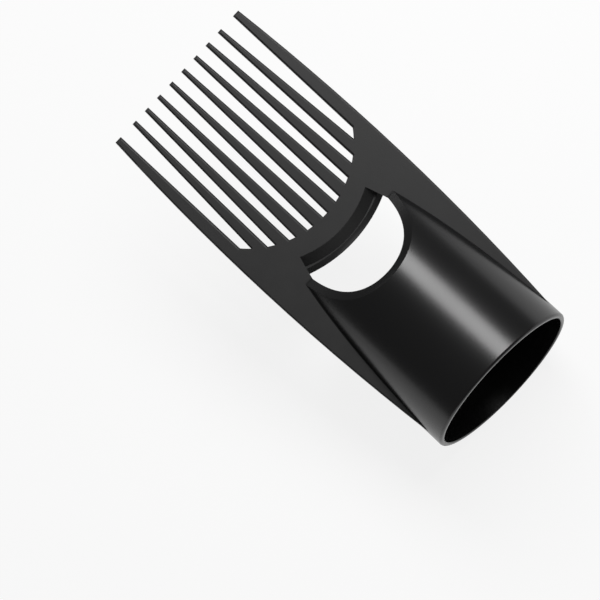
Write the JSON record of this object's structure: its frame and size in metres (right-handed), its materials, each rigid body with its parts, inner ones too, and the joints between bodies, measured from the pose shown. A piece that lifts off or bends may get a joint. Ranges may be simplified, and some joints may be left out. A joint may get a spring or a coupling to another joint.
{
  "type": "hair dryer pick comb attachment",
  "caption": "One-piece pick comb nozzle for a hair dryer: a short tube that slips over the barrel, running out into a tilted comb plate with an air window before the teeth.",
  "frame": {"origin": "centre of the socket's mouth, on the tube's axis", "axes": "+X along the tube's axis from the mouth towards the comb's tips, +Z out of the front face, where the scoop and the window are, +Y to the left seen from the front with the tips up"},
  "size_m": [0.1248, 0.0564, 0.0594],
  "materials": {
    "black_plastic": "black, satin and nearly glossy on the tube, matte with a fine grain on the comb plate"
  },
  "bodies": {
    "root": {"pick_comb": "black_plastic"}
  },
  "joints": []
}
